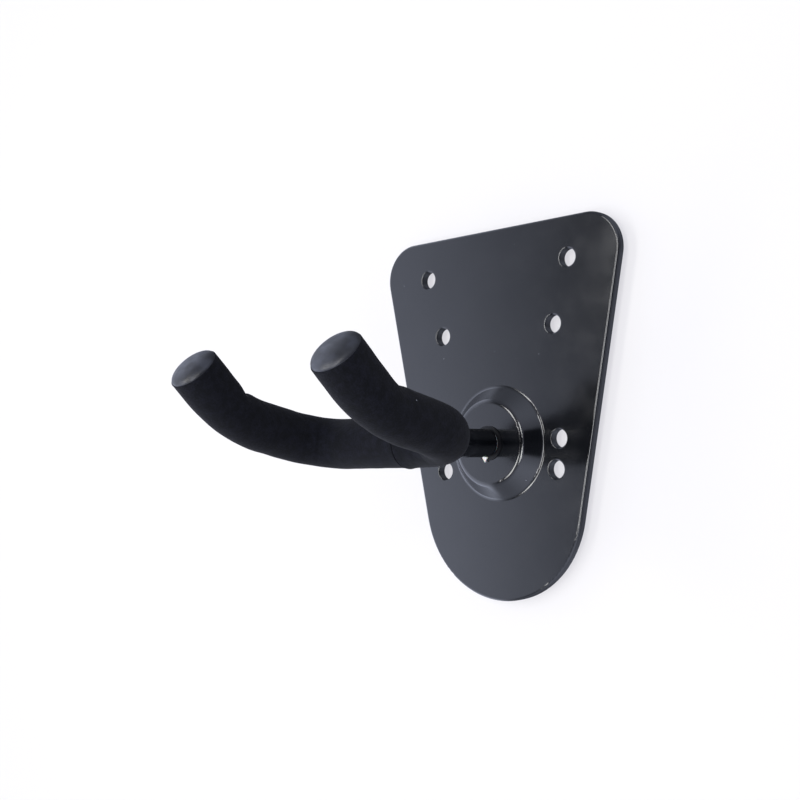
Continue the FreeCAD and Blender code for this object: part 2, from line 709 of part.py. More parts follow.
def thrust_washer():
    start = f"{PLATEAU_BACK} - Sizes.thrust_washer_thickness"
    outer = "Sizes.thrust_washer_radius"
    return ring("thrust_washer", WASHER_BORE, outer, start, "Sizes.thrust_washer_thickness")


def backing_shim():
    outer = "Sizes.shim_radius"
    return ring("backing_shim", WASHER_BORE, outer, SPRING_FRONT, "Sizes.shim_thickness")


def all_pieces():
    seam = "Sizes.foam_seam_offset"
    return [
        wall_plate(),
        pivot_bush(),
        thrust_washer(),
        stem(),
        stem_weld(),
        tab_washer(),
        backing_shim(),
        spring_washer(),
        lock_nut(),
        yoke_rod(),
        foam_sleeve("left", -1, seam, [stem_notch()]),
        foam_sleeve("right", 1, f"({seam} + Sizes.foam_seam_gap)", []),
        end_cap("left", -1),
        end_cap("right", 1),
    ]


pieces = all_pieces()
doc.recompute()
for thing in doc.Objects:
    if "Invalid" in thing.State or "Error" in thing.State:
        raise RuntimeError(f"{thing.Label} can't be made: {thing.State}")
for piece in pieces:
    if piece.Shape.isNull() or not piece.Shape.isValid() or len(piece.Shape.Solids) != 1:
        raise RuntimeError(f"{piece.Label} isn't one valid solid")

os.makedirs("parts", exist_ok=True)
for piece in pieces:
    piece.Shape.exportStep(f"parts/{piece.Label}.step")
    print(piece.Label, round(piece.Shape.Volume, 1), "mm3")
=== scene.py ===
"""Looks of a wall guitar hanger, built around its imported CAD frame.

Lengths are in metres. The wall is the plane XZ: +X is to the right for someone who faces it, +Z is up
and -Y comes out of the wall. The yoke turns about an axis along Y.
"""

import json
import math

import bpy
from bpy.props import FloatProperty, FloatVectorProperty, PointerProperty
from mathutils import Matrix, Vector, noise

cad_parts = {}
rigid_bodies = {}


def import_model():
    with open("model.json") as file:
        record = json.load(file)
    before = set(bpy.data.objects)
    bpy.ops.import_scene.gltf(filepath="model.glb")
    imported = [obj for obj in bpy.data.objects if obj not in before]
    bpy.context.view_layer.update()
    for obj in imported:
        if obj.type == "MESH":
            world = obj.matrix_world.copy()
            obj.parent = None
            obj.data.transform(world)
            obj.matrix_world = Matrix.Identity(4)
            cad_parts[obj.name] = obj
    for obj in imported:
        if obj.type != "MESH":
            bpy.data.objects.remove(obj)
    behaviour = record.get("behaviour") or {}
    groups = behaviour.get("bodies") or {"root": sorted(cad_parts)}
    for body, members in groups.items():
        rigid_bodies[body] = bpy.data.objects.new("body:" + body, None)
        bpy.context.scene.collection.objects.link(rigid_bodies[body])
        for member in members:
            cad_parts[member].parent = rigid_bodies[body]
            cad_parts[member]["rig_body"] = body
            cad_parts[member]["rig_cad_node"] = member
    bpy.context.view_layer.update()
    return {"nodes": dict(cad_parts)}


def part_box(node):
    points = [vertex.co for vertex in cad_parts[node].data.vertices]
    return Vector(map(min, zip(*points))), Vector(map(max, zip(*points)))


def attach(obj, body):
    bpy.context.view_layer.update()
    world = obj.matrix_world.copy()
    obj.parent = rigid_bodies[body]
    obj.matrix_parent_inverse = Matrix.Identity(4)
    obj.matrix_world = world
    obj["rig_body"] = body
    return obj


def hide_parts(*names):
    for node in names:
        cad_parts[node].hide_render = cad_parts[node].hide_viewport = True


bl_info = {
    "name": "Wall Guitar Hanger",
    "version": (1, 0, 0),
    "blender": (4, 5, 0),
    "location": "3D View > Sidebar > Hanger",
    "description": "Foam, rubber, powder coat and plated steel for a wall guitar hanger",
    "category": "Object",
}

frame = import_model()

MM = 0.001
UP = Vector((0, 0, 1))

STEM_LOW, STEM_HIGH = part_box("stem")
ROD_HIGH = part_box("yoke_rod")[1]
WELD_LOW, WELD_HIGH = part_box("stem_weld")
LEFT_FOAM_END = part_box("foam_sleeve_left")[1].x
RIGHT_FOAM_LOW, RIGHT_FOAM_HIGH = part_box("foam_sleeve_right")
SWIVEL_HEIGHT = (STEM_LOW.z + STEM_HIGH.z) / 2


def linear(code):
    """Linear colour of an sRGB hex value."""
    shares = [int(code[at : at + 2], 16) / 255 for at in (1, 3, 5)]
    return [s / 12.92 if s <= 0.04045 else ((s + 0.055) / 1.055) ** 2.4 for s in shares]


def length(name, description, default):
    """Setting in metres."""
    return FloatProperty(
        name=name, description=description, default=default, subtype="DISTANCE", unit="LENGTH"
    )


def angle(name, description, degrees):
    """Setting in radians, given in degrees."""
    return FloatProperty(
        name=name,
        description=description,
        default=math.radians(degrees),
        subtype="ANGLE",
        unit="ROTATION",
    )


def colour(name, description, code):
    """Setting for a colour, given as an sRGB hex value."""
    return FloatVectorProperty(
        name=name, description=description, default=linear(code), subtype="COLOR", size=3
    )


class HangerSizes(bpy.types.PropertyGroup):
    """Sizes of the yoke that its soft pieces follow."""

    rod_diameter: length("Rod diameter", "Steel rod inside the foam", 9.5 * MM)
    elbow_radius: length("Elbow radius", "Bend from the crossbar to an arm", 15.4 * MM)
    arm_straight: length("Straight part", "Arm between its two bends", 10 * MM)
    rise_radius: length("Rise radius", "Long bend that turns an arm up", 51 * MM)
    rise_angle: angle("Rise angle", "How far the long bend turns", 31.2)
    tip_length: length("Straight tip", "Arm from the long bend to the cap", 7.5 * MM)
    tilt: angle("Yoke tilt", "How far both arms lean up from level", 13.1)
    foam_fray: length("Foam unevenness", "How far the foam's skin wanders in and out", 0.16 * MM)
    cut_round: length("Cut edge", "Rounding of the foam's cut ends", 0.22 * MM)
    cap_skirt_wall: length("Skirt wall", "Rubber round the rod's end", 1.3 * MM)
    cap_skirt: length("Skirt length", "How far the cap goes over the rod", 6.8 * MM)
    cap_height: length("Cap height", "How far the cap stands out of the foam", 2.8 * MM)
    cap_inset: length("Cap inset", "How far the cap's rim lies inside the foam's", 0.3 * MM)
    ripple: length("Weld ripple", "Height of the ripples on the bead", 0.12 * MM)


class HangerFinish(bpy.types.PropertyGroup):
    """Colours of the hanger's finishes."""

    coat: colour("Powder coat", "Pigment of the coat", "#040507")
    coat_haze: colour("Coat haze", "Thin film of dust and handling on black surfaces", "#08090C")
    dust: colour("Dust", "Specks that lie on the hanger", "#9A9EA8")
    # The two foam colours are partly random tone and partly painted light: painted shade in the
    # hollows, painted highlight on the raised spots.
    foam: colour("Foam", "Foam in its hollows", "#05060A")
    foam_highlit: colour("Foam high spots", "Foam where cells stand out", "#0E0F17")
    rubber: colour("Rubber", "Moulded rubber of the caps", "#0C0D11")
    bloom: colour("Rubber bloom", "Rubber where its wax has come to the surface", "#1F2128")
    black_nylon: colour("Black nylon", "Nylon dyed black", "#0A0A0C")
    nylon: colour("Nylon", "Undyed nylon", "#E6E4DC")
    nylon_shade: colour("Nylon shade", "Undyed nylon where it is denser", "#D9D6CC")
    zinc: colour("Zinc", "Clear zinc plating", "#B9BEC4")
    zinc_bloom: colour("Zinc bloom", "Straw tint in the plating", "#C9C3B2")
    steel: colour("Steel", "Drawn steel rod", "#84868A")
    steel_shade: colour("Steel streaks", "Darker lines that the drawing die leaves", "#6C6A68")


class HangerStage(bpy.types.PropertyGroup):
    """Camera, backdrop and light."""

    azimuth: angle("Azimuth", "Camera's turn round the hanger, to the right", 43.309)
    elevation: angle("Elevation", "Camera's height above the horizon", -3.438)
    roll: angle("Roll", "Camera's turn about its own line of sight", -0.982)
    distance: length("Distance", "From the camera to the point it looks at", 425.3 * MM)
    lens: FloatProperty(
        name="Focal length", description="Lens of the camera", default=51.69, unit="CAMERA"
    )
    aim: FloatVectorProperty(
        name="Aim",
        description="Point that the camera looks at",
        default=(-25.52 * MM, -28.63 * MM, 0.6 * MM),
        subtype="XYZ",
        unit="LENGTH",
    )
    backdrop: colour("Backdrop", "Light from the backdrop", "#F7F6FC")
    wall: colour("Wall", "Paint of the wall and floor", "#757470")
    wall_shade: colour("Wall shade", "Cooler patches of the paint", "#6C6E74")
    glow: FloatProperty(
        name="Backdrop glow", description="How brightly the backdrop is lit from behind", default=0.69
    )
    studio: colour("Studio", "Light from the rest of the room", "#DDE4FA")
    key_power: FloatProperty(
        name="Key light", description="Power of the large soft light", default=2, unit="POWER"
    )
    strip_power: FloatProperty(
        name="Strip lights", description="Power of each tall narrow light", default=5.5, unit="POWER"
    )


# Tools for meshes.

TURN_STEPS = 96
TOUCHING = 0.002 * MM


def deselect():
    bpy.ops.object.select_all(action="DESELECT")


def edit_mode():
    bpy.ops.object.mode_set(mode="EDIT")


def object_mode():
    bpy.ops.object.mode_set(mode="OBJECT")


def select_only(piece):
    """Selects one piece and makes it the active one."""
    deselect()
    piece.select_set(True)
    bpy.context.view_layer.objects.active = piece


def new_primitive(kind, name, **settings):
    """Adds a primitive, names it and leaves it alone selected, with its place in its mesh."""
    deselect()
    getattr(bpy.ops.mesh, f"primitive_{kind}_add")(**settings)
    piece = bpy.context.object
    piece.name = name
    piece.data.name = name
    bpy.ops.object.transform_apply(location=True, rotation=True, scale=True)
    return piece


def finish_modifier(piece, kind, **settings):
    """Adds a modifier and applies it."""
    modifier = piece.modifiers.new(kind.title(), kind)
    for name, value in settings.items():
        setattr(modifier, name, value)
    bpy.context.view_layer.objects.active = piece
    bpy.ops.object.modifier_apply(modifier=modifier.name)


def smooth(piece, degrees):
    """Smooth shading with the edges sharper than an angle left crisp."""
    select_only(piece)
    bpy.ops.object.shade_smooth_by_angle(angle=math.radians(degrees))


def outward(piece):
    """Merges what touches and turns every face outwards."""
    select_only(piece)
    edit_mode()
    bpy.ops.mesh.select_all(action="SELECT")
    bpy.ops.mesh.remove_doubles(threshold=TOUCHING)
    bpy.ops.mesh.normals_make_consistent(inside=False)
    object_mode()


def turned(name, profile):
    """Piece turned about its own Z axis: one point is extruded along the profile, then spun."""
    piece = new_primitive("plane", name, size=MM)
    edit_mode()
    bpy.ops.mesh.merge(type="CENTER")
    bpy.ops.transform.translate(value=profile[0])
    for start, end in zip(profile, profile[1:]):
        bpy.ops.mesh.extrude_region_move(TRANSFORM_OT_translate={"value": end - start})
    bpy.ops.mesh.select_all(action="SELECT")
    bpy.ops.mesh.spin(steps=TURN_STEPS, angle=math.tau, center=(0, 0, 0), axis=(0, 0, 1))
    object_mode()
    outward(piece)
    return piece


def copy_of(node, name):
    """A copy of a CAD node's mesh with its loose triangles merged."""
    deselect()
    piece = frame["nodes"][node].copy()
    piece.data = piece.data.copy()
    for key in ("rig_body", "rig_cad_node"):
        del piece[key]
    piece.parent = None
    piece.name = name
    piece.data.name = name
    bpy.context.collection.objects.link(piece)
    outward(piece)
    return piece


def clothe(piece, material):
    """Gives a piece one material in place of all it has."""
    piece.data.materials.clear()
    piece.data.materials.append(material)


def clothe_nodes(nodes, material):
    for node in nodes:
        clothe(frame["nodes"][node], material)


def stand_in(piece, node):
    """The piece rides on the yoke in a CAD node's stead."""
    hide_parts(node)
    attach(piece, "yoke")


# Materials. Texture scales are one over a real length. In a map range, sockets 1 to 4 are the range
# that comes in and the range that goes out. In a colour mix, socket 0 is the share, 6 and 7 are the
# colours, and output 2 is the result.

SMOOTH = {"interpolation_type": "SMOOTHSTEP"}
COLOURS = {"data_type": "RGBA"}


def add(tree, kind, inputs=None, **settings):
    """Adds a node with its settings. The inputs give each socket a value, the socket that feeds it,
    or a node whose first output does."""
    made = tree.nodes.new("ShaderNode" + kind)
    for name, value in settings.items():
        setattr(made, name, value)
    for name, value in (inputs or {}).items():
        if isinstance(value, bpy.types.Node):
            value = value.outputs[0]
        if isinstance(value, bpy.types.NodeSocket):
            tree.links.new(value, made.inputs[name])
        else:
            made.inputs[name].default_value = value
    return made


def new_material(name):
    """Material with an empty tree, the tree, and the piece's own coordinates."""
    material = bpy.data.materials.new(name)
    material.use_nodes = True
    tree = material.node_tree
    tree.nodes.clear()
    return material, tree, add(tree, "TexCoord").outputs["Object"]


def surfaced(material, inputs):
    """Ends a material's tree with its principled shader."""
    tree = material.node_tree
    add(tree, "OutputMaterial", {"Surface": add(tree, "BsdfPrincipled", inputs)})
    return material


def solid(colour_value):
    return (*colour_value, 1.0)


def clouds(tree, place, size, low, high, to_low=0.0, to_high=1.0, detail=3.0):
    """Level with soft clouds of a real size: noise from low to high, stretched smoothly."""
    level = add(tree, "TexNoise", {"Vector": place, "Scale": 1 / size, "Detail": detail})
    return add(tree, "MapRange", {"Value": level, 1: low, 2: high, 3: to_low, 4: to_high}, **SMOOTH)


def mottled(tree, place, size, first, second):
    """Two colours that run into each other in soft clouds of a real size."""
    share = add(tree, "TexNoise", {"Vector": place, "Scale": 1 / size, "Detail": 3.0})
    return add(tree, "Mix", {0: share, 6: solid(first), 7: solid(second)}, **COLOURS).outputs[2]


def relief(tree, place, size, detail, depth, strength):
    """Soft bumps of a real size and depth."""
    height = add(tree, "TexNoise", {"Vector": place, "Scale": 1 / size, "Detail": detail})
    return add(tree, "Bump", {"Height": height, "Distance": depth, "Strength": strength})


def specks(tree, place, spacing, radius, chance):
    """Factor that is one on small round specks: one in each cell, in some of the cells."""
    cells = add(tree, "TexVoronoi", {"Vector": place, "Scale": 1 / spacing})
    rim = radius / spacing
    near = add(tree, "MapRange", {"Value": cells, 1: rim, 2: 0.5 * rim}, **SMOOTH)
    rare = add(tree, "SeparateColor", {"Color": cells.outputs["Color"]})
    chosen = add(tree, "Math", {0: rare, 1: 1 - chance}, operation="GREATER_THAN")
    return add(tree, "Math", {0: near, 1: chosen}, operation="MULTIPLY")


def powder_coat(finish):
    """Gloss black polyester powder, sprayed on pressed steel and baked: it flows out almost like
    enamel, but keeps a faint orange peel, so that reflections are clear with a slight waver."""
    material, tree, place = new_material("gloss_black_powder_coat")
    haze = clouds(tree, place, 22 * MM, 0.35, 0.75)
    tints = {0: haze, 6: solid(finish.coat), 7: solid(finish.coat_haze)}
    pigment = add(tree, "Mix", tints, **COLOURS).outputs[2]
    dust = specks(tree, place, spacing=5 * MM, radius=0.16 * MM, chance=0.3)
    dusted = add(tree, "Mix", {0: dust, 6: pigment, 7: solid(finish.dust)}, **COLOURS)
    wiped = clouds(tree, place, 9 * MM, 0.3, 0.8, 0.12, 0.16, detail=5.0)
    orange_peel = relief(tree, place, 1.8 * MM, detail=1.0, depth=0.004 * MM, strength=1.0)
    return surfaced(
        material,
        {
            "Base Color": dusted.outputs[2],
            "Roughness": add(tree, "Math", {0: wiped, 1: dust}, operation="ADD"),
            "Normal": orange_peel,
            "IOR": 1.6,
        },
    )


def closed_cell_foam(finish):
    """Extruded black rubber foam with its skin ground off: a dull, dusty-dark surface of cut
    cells that scatters light at a low angle. The cells are drawn at about 0.6 mm, twice their
    real width, so that they show."""
    material, tree, place = new_material("black_nitrile_foam")
    cells = add(
        tree,
        "TexVoronoi",
        {"Vector": place, "Scale": 1 / (0.6 * MM), "Smoothness": 0.6},
        feature="SMOOTH_F1",
    )
    mottle = add(tree, "TexNoise", {"Vector": place, "Scale": 1 / (2.4 * MM), "Detail": 4.0})
    grain = add(tree, "TexNoise", {"Vector": place, "Scale": 1 / (0.5 * MM), "Detail": 2.0})
    both = add(tree, "Math", {0: mottle, 1: grain}, operation="MULTIPLY")
    # Painted shade and highlight: the colour is darker where the coarse bump lies low and lighter
    # where it stands high, mixed with random grain.
    lit = add(tree, "MapRange", {"Value": both, 1: 0.12, 2: 0.42}, **SMOOTH)
    tints = {0: lit, 6: solid(finish.foam), 7: solid(finish.foam_highlit)}
    body = add(tree, "Mix", tints, **COLOURS).outputs[2]
    lint = specks(tree, place, spacing=11 * MM, radius=0.22 * MM, chance=0.35)
    linted = add(tree, "Mix", {0: lint, 6: body, 7: solid(finish.dust)}, **COLOURS)
    fine = add(tree, "Bump", {"Height": cells, "Distance": 0.1 * MM, "Strength": 0.7})
    coarse = {"Height": mottle, "Distance": 0.18 * MM, "Strength": 0.8, "Normal": fine}
    return surfaced(
        material,
        {
            "Base Color": linted.outputs[2],
            "Normal": add(tree, "Bump", coarse),
            "Roughness": 0.92,
            "Specular IOR Level": 0.12,
            "Sheen Weight": 0.02,
            "Sheen Roughness": 0.5,
        },
    )


def moulded_rubber(finish):
    """Soft black rubber moulded in a blasted tool: a satin with greyer patches, where its wax has
    come to the surface."""
    material, tree, place = new_material("moulded_black_rubber")
    waxy = clouds(tree, place, 5 * MM, 0.36, 0.62)
    tints = {0: waxy, 6: solid(finish.rubber), 7: solid(finish.bloom)}
    return surfaced(
        material,
        {
            "Base Color": add(tree, "Mix", tints, **COLOURS).outputs[2],
            "Normal": relief(tree, place, 0.35 * MM, detail=2.0, depth=0.01 * MM, strength=0.6),
            "Roughness": clouds(tree, place, 3 * MM, 0.3, 0.7, 0.38, 0.5),
            "IOR": 1.45,
        },
    )


def undyed_nylon(finish):
    """Nylon moulded without dye: milky, with light that goes a little way in."""
    material, tree, place = new_material("undyed_nylon")
    return surfaced(
        material,
        {
            "Base Color": mottled(tree, place, 2 * MM, finish.nylon, finish.nylon_shade),
            "Roughness": clouds(tree, place, 0.8 * MM, 0.2, 0.8, 0.36, 0.5),
            "IOR": 1.53,
            "Subsurface Weight": 0.2,
            "Subsurface Scale": 0.6 * MM,
        },
    )


def dyed_nylon(finish):
    """Nylon moulded with carbon black: a dull satin that follows the tool's blasted surface."""
    material, tree, place = new_material("black_nylon")
    return surfaced(
        material,
        {
            "Base Color": mottled(tree, place, 2 * MM, finish.black_nylon, finish.coat_haze),
            "Roughness": clouds(tree, place, 0.8 * MM, 0.2, 0.8, 0.3, 0.42),
            "Specular IOR Level": 0.25,
        },
    )


def zinc_plate(finish):
    """Turned and stamped steel with clear zinc plating: a soft bright metal with rings from the
    tool, drawn wider than they are so that they show, and a faint straw bloom."""
    material, tree, place = new_material("clear_zinc_plated_steel")
    centred = add(tree, "Mapping", {"Vector": place, "Location": (0, 0, -SWIVEL_HEIGHT)})
    rings = add(
        tree,
        "TexWave",
        {"Vector": centred, "Scale": 1 / (6 * MM), "Distortion": 0.4},
        wave_type="RINGS",
        rings_direction="Y",
    )
    cut = {"Height": rings.outputs["Fac"], "Distance": 0.01 * MM, "Strength": 0.5}
    return surfaced(
        material,
        {
            "Base Color": mottled(tree, place, 3 * MM, finish.zinc, finish.zinc_bloom),
            "Normal": add(tree, "Bump", cut),
            "Roughness": clouds(tree, place, 1.5 * MM, 0.2, 0.8, 0.24, 0.38),
            "Metallic": 1.0,
        },
    )


def drawn_steel(finish):
    """Cold-drawn rod, degreased and left bare inside the foam: grey metal with draw lines."""
    material, tree, place = new_material("cold_drawn_steel")
    lines = add(tree, "Mapping", {"Vector": place, "Scale": (1.0, 0.05, 1.0)})
    streak = add(tree, "TexNoise", {"Vector": lines, "Scale": 1 / (0.4 * MM), "Detail": 4.0})
    tints = {0: streak, 6: solid(finish.steel), 7: solid(finish.steel_shade)}
    worn = {"Value": streak, 1: 0.2, 2: 0.8, 3: 0.3, 4: 0.45}
    return surfaced(
        material,
        {
            "Base Color": add(tree, "Mix", tints, **COLOURS).outputs[2],
            "Roughness": add(tree, "MapRange", worn, **SMOOTH),
            "Metallic": 1.0,
        },
    )


# Foam sleeves. Each is modelled as the straight tube that it is cut from, with along from the middle
# of the crossbar, out towards the outside of the elbow and up towards the inside of the rise.
# Then it is pushed over the bent rod.

TUBE_SIDES = 120
RING_SPACING = 0.5 * MM
WANDER_SIZE = 7 * MM
WANDER_SHIFT = 9

# Dents where the foam is squeezed inside a bend, for each side: share of the way through the bend,
# depth, and length towards the crossbar and towards the tip. The focus is how closely they keep to
# the inside of the bend.
RISE_DENTS = {
    -1: [(0.45, 0.85 * MM, 10 * MM, 8 * MM), (0.545, 1.5 * MM, 1.3 * MM, 3.4 * MM)],
    1: [(0.44, 1.5 * MM, 4 * MM, 6.5 * MM)],
}
ELBOW_DENTS = {
    -1: [(0.47, 0.3 * MM, 1.1 * MM, 1.1 * MM), (0.79, 0.35 * MM, 1.3 * MM, 1.3 * MM)],
    1: [(0.3, 0.25 * MM, 1.3 * MM, 1.3 * MM), (0.66, 0.3 * MM, 1.2 * MM, 1.2 * MM)],
}
DENT_FOCUS = 1.5

# The cut end on the crossbar spreads a little underneath, and the hole for the stem clears its weld.
CUT_FLARE = 0.45 * MM
CUT_FLARE_LENGTH = 1.6 * MM
PUNCH_SIDES = 64
PUNCH_GAP = 0.4 * MM
PUNCH_DEPTH = 12 * MM


def clamp(value, low, high):
    return min(max(value, low), high)


def rod_lengths(sizes):
    """Distances along the rod where the elbow starts and ends, the rise starts and ends, and the
    tip ends."""
    arm_side = ROD_HIGH.x - sizes.rod_diameter / 2
    elbow_start = arm_side - sizes.elbow_radius
    elbow_end = elbow_start + sizes.elbow_radius * math.pi / 2
    rise_start = elbow_end + sizes.arm_straight
    rise_end = rise_start + sizes.rise_radius * sizes.rise_angle
    return elbow_start, elbow_end, rise_start, rise_end, rise_end + sizes.tip_length


def on_rod(along, out, up, sizes):
    """Where a point of the straight tube goes on the right arm, in the yoke's own frame."""
    elbow_start, elbow_end, rise_start, rise_end, _ = rod_lengths(sizes)
    turn = clamp((along - elbow_start) / sizes.elbow_radius, 0, math.pi / 2)
    rise = clamp((along - rise_start) / sizes.rise_radius, 0, sizes.rise_angle)
    onward = Vector((math.cos(turn), -math.sin(turn), 0))
    aside = Vector((math.sin(turn), math.cos(turn), 0))
    tip = max(along - rise_end, 0)
    level = clamp(along - elbow_end, 0, sizes.arm_straight)
    level += sizes.rise_radius * math.sin(rise) + tip * math.cos(rise)
    climb = sizes.rise_radius * (1 - math.cos(rise)) + tip * math.sin(rise)
    elbow = Vector((math.sin(turn), math.cos(turn) - 1, 0)) * sizes.elbow_radius
    centre = Vector((min(along, elbow_start), 0, 0)) + elbow + onward * level + UP * climb
    return centre + aside * out + (UP * math.cos(rise) - onward * math.sin(rise)) * up


def crossbar_place(sizes):
    """How far out the middle line of the crossbar is."""
    return ROD_HIGH.y - sizes.rod_diameter / 2


def yoke_place(sizes):
    """From the yoke's own frame to the wall's."""
    middle = Vector((0, crossbar_place(sizes), SWIVEL_HEIGHT))
    return Matrix.Translation(middle) @ Matrix.Rotation(-sizes.tilt, 4, "X")


def foam_radius(sizes):
    return RIGHT_FOAM_HIGH.x - ROD_HIGH.x + sizes.rod_diameter / 2


def dents(along, places, bend_start, bend_end):
    """Depth of a bend's dents at a distance along the tube."""
    depth = 0
    for at, deep, before, after in places:
        off = along - (bend_start + at * (bend_end - bend_start))
        depth += deep * math.exp(-((off / (before if off < 0 else after)) ** 2))
    return depth


def skin_offset(along, out, up, sizes, side):
    """How far the sleeve's skin stands out at a point of the straight tube."""
    elbow_start, elbow_end, rise_start, rise_end, _ = rod_lengths(sizes)
    radius = math.hypot(out, up)
    shift = Vector((side * WANDER_SHIFT, 0, 0))
    wander = noise.noise(Vector((along, out, up)) / WANDER_SIZE + shift)
    inside_elbow = max(-out / radius, 0) ** DENT_FOCUS
    inside_rise = max(up / radius, 0) ** DENT_FOCUS
    below = max(-up / radius, 0)
    from_cut = along + LEFT_FOAM_END if side < 0 else along - RIGHT_FOAM_LOW.x
    return (
        wander * sizes.foam_fray
        - inside_elbow * dents(along, ELBOW_DENTS[side], elbow_start, elbow_end)
        - inside_rise * dents(along, RISE_DENTS[side], rise_start, rise_end)
        + below * CUT_FLARE * math.exp(-from_cut / CUT_FLARE_LENGTH)
    )


def foam_sleeve(name, side, start, sizes):
    """One sleeve: tube wall, dents and cut ends, pushed over the rod from start to the cap."""
    end = rod_lengths(sizes)[-1]
    outer = foam_radius(sizes)
    tube = new_primitive(
        "cylinder",
        name,
        vertices=TUBE_SIDES,
        radius=outer,
        depth=end - start,
        end_fill_type="NOTHING",
        location=((start + end) / 2, 0, 0),
        rotation=(0, math.pi / 2, 0),
    )
    edit_mode()
    bpy.ops.mesh.select_mode(type="EDGE")
    bpy.ops.mesh.select_all(action="DESELECT")
    object_mode()
    for edge in tube.data.edges:
        first, second = (tube.data.vertices[n].co for n in edge.vertices)
        edge.select = abs(first.x - second.x) > MM
    edit_mode()
    bpy.ops.mesh.subdivide(number_cuts=round((end - start) / RING_SPACING))
    bpy.ops.mesh.select_mode(type="VERT")
    object_mode()
    for vertex in tube.data.vertices:
        along, out, up = vertex.co
        stretch = 1 + skin_offset(along, out, up, sizes, side) / outer
        vertex.co = Vector((along, out * stretch, up * stretch))
    finish_modifier(tube, "SOLIDIFY", thickness=outer - sizes.rod_diameter / 2, offset=-1)
    finish_modifier(
        tube,
        "BEVEL",
        width=sizes.cut_round,
        segments=2,
        limit_method="ANGLE",
        angle_limit=math.radians(60),
    )
    place = yoke_place(sizes)
    for vertex in tube.data.vertices:
        point = on_rod(*vertex.co, sizes)
        point.x *= side
        vertex.co = place @ point
    outward(tube)
    return tube


def punch_for_stem(sleeve, sizes):
    """Hole through the back of a sleeve for the stem and its weld."""
    punch = new_primitive(
        "cylinder",
        "stem_punch",
        vertices=PUNCH_SIDES,
        radius=(WELD_HIGH.z - WELD_LOW.z) / 2 + PUNCH_GAP,
        depth=PUNCH_DEPTH,
        location=(0, crossbar_place(sizes) + PUNCH_DEPTH / 2, SWIVEL_HEIGHT),
        rotation=(math.pi / 2, 0, 0),
    )
    finish_modifier(sleeve, "BOOLEAN", operation="DIFFERENCE", object=punch, solver="EXACT")
    bpy.data.objects.remove(punch)


# Stage. The wall's sizes are its reach out from the wall, its height, its width and how much of the
# height is below the hanger.

WALL_DEEP, WALL_TALL, WALL_WIDE, WALL_BELOW = 1.5, 2.1, 9.0, 0.5
WALL_GAP = 4 * MM
COVE_RADIUS = 0.25
COVE_STEPS = 16
WALL_PATCHES = 0.3

# Light of the room by direction. Each row names a measure of the direction, the range over which the
# light changes smoothly, and the light at both ends of it. Lamps add up: far left, right, ceiling
# and floor, and behind the wall. Shades dim the sum: height, behind the wall's plane, and a doorway.
ROOM_LAMPS = [
    ("X", -0.49, -0.71, 0.12, 2.35),
    ("X", -0.4, 0.5, 0.0, 1.0),
    ("steepness", 0.35, 0.75, 0.0, 0.7),
    ("Y", 0.78, 0.95, 0.0, 1.4),
]
ROOM_SHADES = [
    ("Z", 0.2, -0.12, 0.78, 1.12),
    ("Y", 0.0, 0.3, 1.0, 0.42),
    ("doorway", 0.9, 0.94, 1.0, 0.05),
]
DOORWAY = Vector((0.82, -0.56, 0.0)).normalized()

KEY_PLACE = (-0.95, -0.45, 0.3)
KEY_SIZE = (0.5, 0.5)
STRIP_PLACES = {"left": (-0.31, -0.85, 0.0), "right": (0.24, -0.87, 0.0)}
STRIP_SIZE = (0.18, 0.9)


